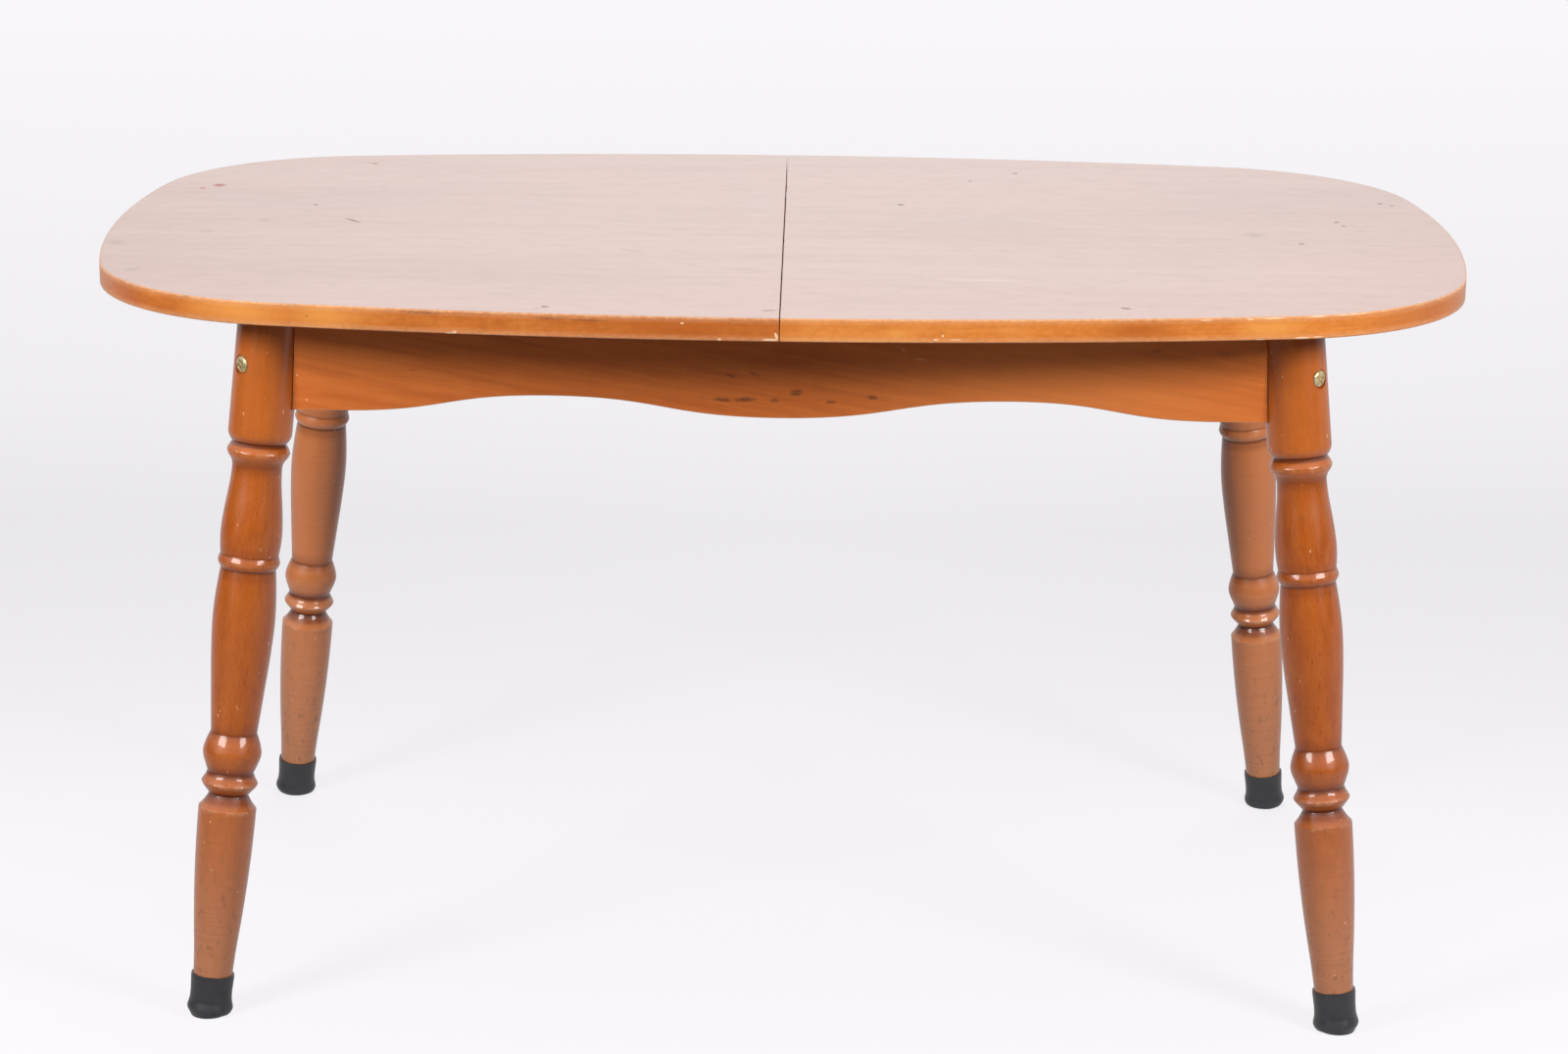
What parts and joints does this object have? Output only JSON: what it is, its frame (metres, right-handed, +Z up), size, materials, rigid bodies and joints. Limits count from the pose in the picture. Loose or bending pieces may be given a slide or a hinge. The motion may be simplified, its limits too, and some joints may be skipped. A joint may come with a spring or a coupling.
{
  "type": "extending dining table",
  "caption": "Extending dining table with a rounded split top on wooden slides, a leaf stored beneath, shaped aprons and splayed turned legs with rubber foot caps.",
  "frame": {"origin": "on the floor under the middle of the closed table", "axes": "+X along the table to the right as the picture shows it, +Y to the back, +Z up"},
  "size_m": [1.3798, 0.85, 0.74],
  "materials": {
    "top_veneer": "satin lacquered veneer",
    "edge_wood": "glossy lacquered wood",
    "leg_wood": "glossy lacquered wood",
    "apron_wood": "satin lacquered wood",
    "raw_beech": "bare wood",
    "rubber": "matt black rubber",
    "brass": "worn brass plating",
    "zinc_steel": "zinc plated",
    "felt": "pressed felt"
  },
  "bodies": {
    "frame": {"leg_front_left": "leg_wood", "leg_back_left": "leg_wood", "leg_front_right": "leg_wood", "leg_back_right": "leg_wood", "foot_cap_front_left": "rubber", "foot_cap_back_left": "rubber", "foot_cap_front_right": "rubber", "foot_cap_back_right": "rubber", "corner_block_front_left": "raw_beech", "corner_block_back_left": "raw_beech", "corner_block_front_right": "raw_beech", "corner_block_back_right": "raw_beech", "guide_block_front_left": "raw_beech", "guide_block_back_left": "raw_beech", "guide_block_front_right": "raw_beech", "guide_block_back_right": "raw_beech", "apron_front": "apron_wood", "apron_back": "apron_wood", "apron_left": "apron_wood", "apron_right": "apron_wood", "cross_rail_left": "raw_beech", "cross_rail_right": "raw_beech", "leaf_pads": "felt", "leg_bolts": "brass", "leg_washers": "zinc_steel", "leg_nuts": "zinc_steel", "corner_screws": "zinc_steel", "guide_screws": "zinc_steel", "rail_screws": "zinc_steel"},
    "top_left": {"top_panel_left": "top_veneer", "edge_lipping_left": "edge_wood", "runner_front_left": "raw_beech", "runner_back_left": "raw_beech", "stop_blocks_left": "raw_beech", "runner_screws_left": "zinc_steel", "stop_screws_left": "zinc_steel", "seam_dowels": "raw_beech", "latch_plate_front": "zinc_steel", "latch_plate_back": "zinc_steel", "latch_pivots": "zinc_steel", "latch_screws": "zinc_steel"},
    "top_right": {"top_panel_right": "top_veneer", "edge_lipping_right": "edge_wood", "runner_front_right": "raw_beech", "runner_back_right": "raw_beech", "stop_blocks_right": "raw_beech", "runner_screws_right": "zinc_steel", "stop_screws_right": "zinc_steel", "keeper_plate_front": "zinc_steel", "keeper_plate_back": "zinc_steel", "keeper_studs": "zinc_steel", "keeper_screws": "zinc_steel"},
    "latch_front": {"latch_lever_front": "zinc_steel"},
    "latch_back": {"latch_lever_back": "zinc_steel"},
    "leaf": {"leaf_panel": "top_veneer", "leaf_lipping_left": "edge_wood", "leaf_lipping_right": "edge_wood", "leaf_dowels": "raw_beech"}
  },
  "joints": [
    {"name": "slide_left", "type": "slide", "parent": "frame", "child": "top_left", "axis": [-1, 0, 0], "range_m": [0, 0.2]},
    {"name": "slide_right", "type": "slide", "parent": "frame", "child": "top_right", "axis": [1, 0, 0], "range_m": [0, 0.2]},
    {"name": "latch_front_turn", "type": "hinge", "parent": "top_left", "child": "latch_front", "pos_m": [-0.035, -0.12, 0.714], "axis": [0, 0, -1], "range_deg": [0, 90]},
    {"name": "latch_back_turn", "type": "hinge", "parent": "top_left", "child": "latch_back", "pos_m": [-0.035, 0.12, 0.714], "axis": [0, 0, 1], "range_deg": [0, 90]},
    {"name": "leaf_lift", "type": "slide", "parent": "frame", "child": "leaf", "axis": [0, 0, 1], "range_m": [0, 0.006]}
  ]
}
